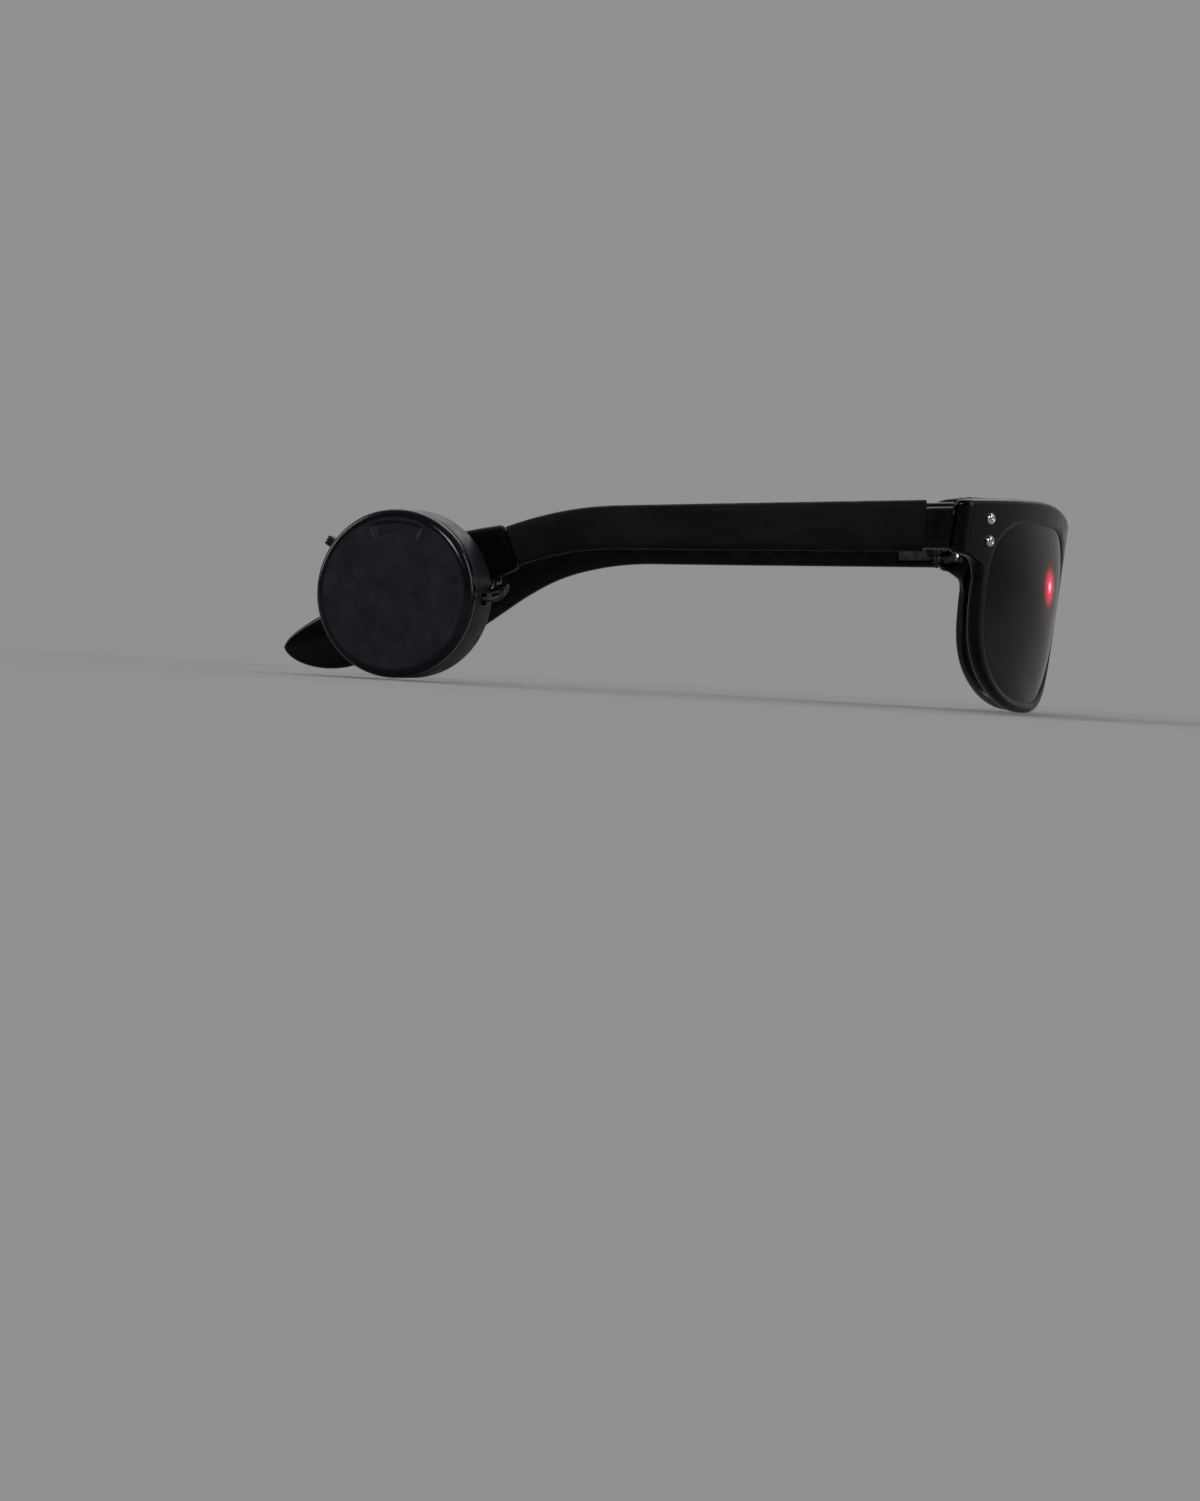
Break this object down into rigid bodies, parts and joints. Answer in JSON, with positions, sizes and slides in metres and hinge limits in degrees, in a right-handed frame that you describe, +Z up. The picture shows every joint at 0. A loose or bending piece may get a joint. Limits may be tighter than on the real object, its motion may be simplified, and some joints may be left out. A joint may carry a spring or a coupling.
{
  "type": "light-up novelty sunglasses",
  "caption": "Dark wraparound sunglasses with a red lamp behind the right lens, wired under a sleeve to a round coin-cell case with a slide switch on the right temple.",
  "frame": {"origin": "centre of the bounding box in plan, at the surface the glasses stand on", "axes": "+Z up, -Y out of the lenses, +Y along the temples, -X the wearer's right side"},
  "size_m": [0.1442, 0.1632, 0.0441],
  "materials": {
    "frame_plastic": "gloss",
    "lens_tint": "polished",
    "hinge_steel": "polished",
    "lamp_resin": "clear",
    "glue": "satin",
    "red_jacket": "satin",
    "black_jacket": "satin",
    "sleeve": "matte",
    "foam": "matte",
    "case_plastic": "satin",
    "nickel": "polished",
    "resistor_body": "satin"
  },
  "bodies": {
    "front": {"front_frame": "frame_plastic", "lens_right": "lens_tint", "lens_left": "lens_tint", "rivet_right_upper": "hinge_steel", "rivet_right_lower": "hinge_steel", "rivet_left_upper": "hinge_steel", "rivet_left_lower": "hinge_steel", "hinge_front_leaf_right": "hinge_steel", "hinge_front_leaf_left": "hinge_steel", "hinge_screw_right": "hinge_steel", "hinge_screw_left": "hinge_steel", "led_lamp": "lamp_resin", "led_collar": "glue", "led_anode_leg": "hinge_steel", "led_cathode_leg": "hinge_steel", "front_lead_positive": "red_jacket", "front_lead_negative": "black_jacket", "hinge_lead_positive": "red_jacket", "hinge_lead_negative": "black_jacket"},
    "temple_right": {"temple_arm_right": "frame_plastic", "hinge_temple_leaf_right": "hinge_steel", "temple_sleeve": "sleeve", "rear_band": "sleeve", "temple_lead_positive": "red_jacket", "temple_lead_negative": "black_jacket", "case_pad": "foam", "case_body": "case_plastic", "cell_lower": "nickel", "cell_upper": "nickel", "negative_spring": "nickel", "positive_contact": "nickel", "switch_housing": "case_plastic", "series_resistor": "resistor_body"},
    "temple_left": {"temple_arm_left": "frame_plastic", "hinge_temple_leaf_left": "hinge_steel"},
    "battery_lid": {"case_lid": "case_plastic"},
    "switch_knob": {"switch_knob": "case_plastic"}
  },
  "joints": [
    {"name": "temple_right_fold", "type": "hinge", "parent": "front", "child": "temple_right", "pos_m": [-0.05979, -0.05491, 0.03631], "axis": [0, -0.0572, -0.9984], "range_deg": [0, 70], "deforming": ["hinge_lead_positive", "hinge_lead_negative"]},
    {"name": "temple_left_fold", "type": "hinge", "parent": "front", "child": "temple_left", "pos_m": [0.06564, -0.05491, 0.03631], "axis": [0, 0.0572, 0.9984], "range_deg": [0, 84]},
    {"name": "lid_twist", "type": "hinge", "parent": "temple_right", "child": "battery_lid", "pos_m": [-0.06789, 0.05651, 0.01715], "axis": [-0.9639, 0.2657, -0.0152], "range_deg": [0, 25]},
    {"name": "switch_slide", "type": "slide", "parent": "temple_right", "child": "switch_knob", "axis": [0.1449, 0.4762, -0.8673], "range_m": [0, 0.002]}
  ]
}
